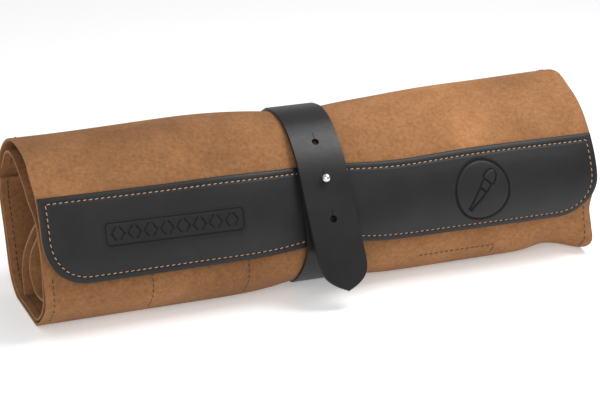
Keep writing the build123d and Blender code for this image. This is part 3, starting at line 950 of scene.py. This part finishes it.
def slit_cutter(name, centre, axis, up):
    """A thin bar that cuts the slit above a hole: eight corners about its middle."""
    side = np.array([1.0, 0, 0])
    middle = centre + up * (HOLE_R + SLIT_ABOVE)
    signs = np.array([(a, b, c) for a in (-1, 1) for b in (-1, 1) for c in (-1, 1)], float)
    reaches = np.stack([side * SLIT_HALF_WIDTH, up * SLIT_HALF_LENGTH, axis * CUT_REACH])
    points = middle + signs @ reaches
    faces = [(0, 1, 3, 2), (4, 6, 7, 5), (0, 4, 5, 1), (2, 3, 7, 6), (0, 2, 6, 4), (1, 5, 7, 3)]
    piece = new_piece(name, points, faces, BLACK_STRAP)
    facing_out(piece)
    return piece


def make_strap():
    """The tongue with three holes, each with a slit above it; the back, which lies on the
    waist from the ridge down and under it; and the end that carries the stud."""
    (tongue, back, stud_end), line, reach, out = strap_pieces()
    stud_reach = reach[np.argmin(np.hypot(*(line - TONGUE[STUD_ROW]).T))]
    profile = [(0.001, -CUT_REACH), (HOLE_R, -CUT_REACH), (HOLE_R, CUT_REACH), (0.001, CUT_REACH)]
    cutters = []
    for number, offset in enumerate((-HOLE_PITCH, 0.0, HOLE_PITCH)):
        at = np.argmin(np.abs(reach - stud_reach - offset))
        centre = np.array([STRAP_X + strap_slant(reach)[at], *line[at]])
        axis = out[at]
        up = np.cross(np.array([1.0, 0, 0]), axis)
        up *= np.sign(up[2])
        cutters.append(turned(f"hole_{number}", profile, (centre, axis), BLACK_STRAP, 28))
        cutters.append(slit_cutter(f"slit_{number}", centre, axis, up))
    punch(tongue, cutters)
    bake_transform(tongue)
    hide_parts("strap_tongue")
    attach(back, "roll")
    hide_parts("strap_back")
    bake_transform(stud_end)
    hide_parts("strap_stud_end")


# ---------------------------------------------------------------- metal
ON_AXIS = 0.001
NECK_R, STUD_BASE_R, STUD_HEAD_R, HEAD_CUT = 1.8, 3.9, 3.0, 1.4
TONGUE_GAP, HEAD_GAP = 1.0, 0.4
SCREW_R, SCREW_HEIGHT, DRIVER_DIMPLE = 3.4, 0.9, 0.35
RIVET_SPREAD, RIVET_R, RIVET_DOME, RIVET_POST_R = 8.0, 4.5, 1.3, 1.6


def dome(radius, height, foot=0.0, steps=10):
    """Profile of a low dome: a quarter ellipse from its rim to its top."""
    turn = np.linspace(0, np.pi / 2, steps)
    arc = [(radius * math.cos(a) + ON_AXIS, foot + height * math.sin(a)) for a in turn]
    return [(ON_AXIS, foot), (radius * 0.96, foot), *arc]


def make_stud():
    """A neck, a bevelled base on the strap's face and a round head, cut flat underneath: a
    profile turned round the stud's axis, the head an arc of a circle."""
    face = STRAP / 2
    head_foot = face + TONGUE_GAP + STRAP + HEAD_GAP
    turn = np.linspace(math.asin(-HEAD_CUT / STUD_HEAD_R), np.pi / 2, 22)
    ball = [
        (STUD_HEAD_R * math.cos(a) + ON_AXIS, head_foot + HEAD_CUT + STUD_HEAD_R * math.sin(a))
        for a in turn
    ]
    profile = [
        (ON_AXIS, -0.3), (NECK_R, -0.3), (NECK_R, face), (STUD_BASE_R - 0.2, face),
        (STUD_BASE_R, face + 0.15), (STUD_BASE_R, face + 0.5), (STUD_BASE_R - 0.3, face + 0.7),
        (NECK_R + 0.1, face + 0.75), (NECK_R, face + 1.0), (NECK_R, head_foot - 0.15),
        (NECK_R + 0.3, head_foot), *ball,
    ]
    piece = turned("stud_metal", profile, (STUD_FOOT, STUD_AXIS), NICKEL, 48)
    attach(piece, "stud_end")
    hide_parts("stud")


def make_stud_screw():
    """The screw's flat head in the back of the strap, with a round dimple for a driver: a
    profile turned round the stud's axis."""
    back = -STRAP / 2
    top, dimple = back + SCREW_HEIGHT, back + DRIVER_DIMPLE
    profile = [
        (ON_AXIS, top), (SCREW_R - 0.4, top), (SCREW_R - 0.05, top - 0.3), (SCREW_R, back + 0.1),
        (SCREW_R - 0.2, back), (1.2, back), (1.0, dimple), (ON_AXIS, dimple),
    ]
    piece = turned("stud_screw_metal", profile, (STUD_FOOT, STUD_AXIS), NICKEL, 40)
    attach(piece, "stud_end")
    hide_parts("stud_screw")


def make_rivets():
    """Two rivets at the back: domed caps outside the strap, posts and flat feet inside."""
    low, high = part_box("rivet_caps")
    z = (low.z + high.z) * 500
    outer = high.y * 1000 - SHIFT_Y
    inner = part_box("rivet_posts")[0].y * 1000 - SHIFT_Y
    cap = dome(RIVET_R, RIVET_DOME)
    post_top = outer - inner - RIVET_POST_R
    post = [
        (ON_AXIS, 0), (RIVET_R - 0.3, 0), (RIVET_R, 0.25), (RIVET_R, 0.7), (RIVET_R - 0.3, 0.9),
        (RIVET_POST_R, 0.95), (RIVET_POST_R, post_top), (ON_AXIS, post_top),
    ]
    for name, node, profile, foot in (
        ("rivet_cap_metal", "rivet_caps", cap, outer - RIVET_DOME + 0.05),
        ("rivet_post_metal", "rivet_posts", post, inner),
    ):
        pair = [
            turned(f"{node}_{side}", profile, ((STRAP_X + side * RIVET_SPREAD, foot, z), (0, 1, 0)), NICKEL)
            for side in (-1, 1)
        ]
        piece = joined(name, pair)
        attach(piece, "roll")
        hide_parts(node)


# ---------------------------------------------------------------- floor, light and camera
AIM = (-4.0, 0.0, 49.2)
AZIMUTH, ELEVATION, DISTANCE = 21.5, 20.0, 1340.0
LENS = 122.8
KEY_LAMP = ((0.3, -0.1, 0.62), 0.35, 3.2)
FRONT_LAMP = ((-0.7, -1.4, 0.9), 1.2, 9)
WORLD_LIGHT, FLOOR_GLOW = 0.55, 0.3
FLOOR_HALF = 6.0


def make_camera():
    """The camera looks at AIM from the left front, a little above."""
    a, e = math.radians(AZIMUTH), math.radians(ELEVATION)
    forward = Vector((math.sin(a) * math.cos(e), math.cos(a) * math.cos(e), -math.sin(e)))
    camera = bpy.data.objects.new("camera", bpy.data.cameras.new("camera"))
    bpy.context.scene.collection.objects.link(camera)
    camera.location = Vector(to_metres(AIM)) - forward * DISTANCE / 1000
    camera.rotation_mode = "QUATERNION"
    camera.rotation_quaternion = forward.to_track_quat("-Z", "Y")
    camera.data.lens = LENS
    camera.data.clip_start = 0.05
    bpy.context.scene.camera = camera


def lamp(name, place, size, watts):
    """A soft square light at a place in metres, facing the roll."""
    light = bpy.data.lights.new(name, "AREA")
    light.size = size
    light.energy = watts
    obj = bpy.data.objects.new(name, light)
    obj.location = place
    obj.rotation_mode = "QUATERNION"
    obj.rotation_quaternion = (Vector((0, 0, 0.05)) - Vector(place)).to_track_quat("-Z", "Y")
    bpy.context.scene.collection.objects.link(obj)


def make_stage():
    """A pale floor wider than the view, which glows a little, two soft lamps and a bright
    plain world."""
    material = bpy.data.materials.new("pale_floor")
    material.use_nodes = True
    shader = material.node_tree.nodes["Principled BSDF"]
    shader.inputs["Base Color"].default_value = (0.9, 0.9, 0.9, 1)
    shader.inputs["Roughness"].default_value = 0.85
    shader.inputs["Emission Color"].default_value = (1, 1, 1, 1)
    shader.inputs["Emission Strength"].default_value = FLOOR_GLOW
    corners = [(FLOOR_HALF * a, FLOOR_HALF * b, 0) for a, b in ((-1, -1), (1, -1), (1, 1), (-1, 1))]
    mesh = bpy.data.meshes.new("floor")
    mesh.from_pydata(corners, [], [(0, 1, 2, 3)])
    mesh.materials.append(material)
    floor = bpy.data.objects.new("floor", mesh)
    bpy.context.scene.collection.objects.link(floor)
    lamp("key", *KEY_LAMP)
    lamp("front", *FRONT_LAMP)
    world = bpy.data.worlds.new("studio")
    world.use_nodes = True
    background = world.node_tree.nodes["Background"]
    background.inputs["Color"].default_value = (1, 1, 1, 1)
    background.inputs["Strength"].default_value = WORLD_LIGHT
    bpy.context.scene.world = world
    bpy.context.scene.view_settings.view_transform = "Standard"


make_camera()
make_cover()
make_flap()
make_inner_sheet("pocket_leather", POCKET, "pocket_panel", 0.6, 120)
make_inner_sheet("guard_leather", GUARD, "tool_guard", 2.0, 110)
make_band()
make_band_stitches()
make_seams()
make_strap()
make_stud()
make_stud_screw()
make_rivets()
make_stage()
